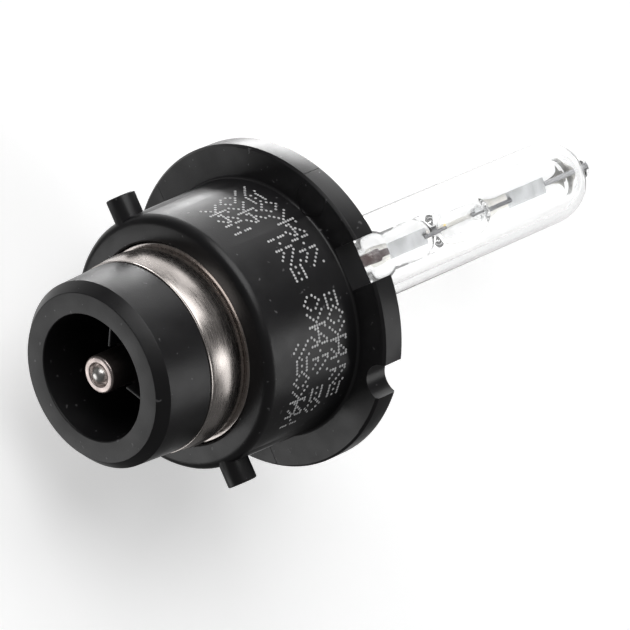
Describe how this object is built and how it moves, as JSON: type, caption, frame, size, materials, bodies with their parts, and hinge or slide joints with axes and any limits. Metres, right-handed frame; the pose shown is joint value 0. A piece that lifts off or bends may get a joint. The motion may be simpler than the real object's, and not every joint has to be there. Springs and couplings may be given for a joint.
{
  "type": "headlight bulb",
  "caption": "Gas-discharge headlight bulb: quartz arc tube in an outer glass tube, on a black prefocus bayonet cap with a key slot, locating flange, ring contact and recessed centre contact.",
  "frame": {"origin": "point where the lamp axis crosses the reference plane, which is the plane of the three datum pads on the front of the locating flange", "axes": "+X along the lamp axis towards the glass tip; +Z towards the middle of the rectangular key slot, which is up when the lamp is fitted; +Y and -Y towards the two bayonet pins, with the round notch between -Y and +Z"},
  "size_m": [0.0759, 0.0332, 0.0331],
  "materials": {
    "cap_plastic": "fine grained black moulding, satin",
    "collar_plastic": "fine grained black moulding, satin",
    "contact_steel": "bright nickel tinted sheet with fine scratches",
    "contact_nickel": "worn nickel plate",
    "weld_metal": "bright re-melted metal",
    "lead_metal": "dull brown grey molybdenum wire",
    "seal_foil": "thin grey molybdenum foil",
    "tungsten": "dull dark wire",
    "salts": "yellow crystalline salts",
    "arc_quartz": "clear quartz",
    "outer_quartz": "clear quartz",
    "holder_steel": "stamped stainless sheet",
    "white_ceramic": "fired unglazed tube",
    "nickel_wire": "drawn nickel",
    "print_ink": "pale dots of a printed code"
  },
  "bodies": {
    "root": {"cap_body": "cap_plastic", "socket_collar": "collar_plastic", "ring_contact": "contact_steel", "centre_contact": "contact_nickel", "centre_weld_bead": "weld_metal", "rear_lead": "lead_metal", "rear_foil": "seal_foil", "rear_electrode": "tungsten", "halide_salts": "salts", "front_electrode": "tungsten", "front_foil": "seal_foil", "front_lead": "lead_metal", "arc_tube": "arc_quartz", "outer_tube": "outer_quartz", "clamp_band": "holder_steel", "holder_ring": "holder_steel", "ceramic_sleeve": "white_ceramic", "return_wire": "nickel_wire", "tip_weld": "weld_metal", "return_strap": "nickel_wire"}
  },
  "joints": []
}
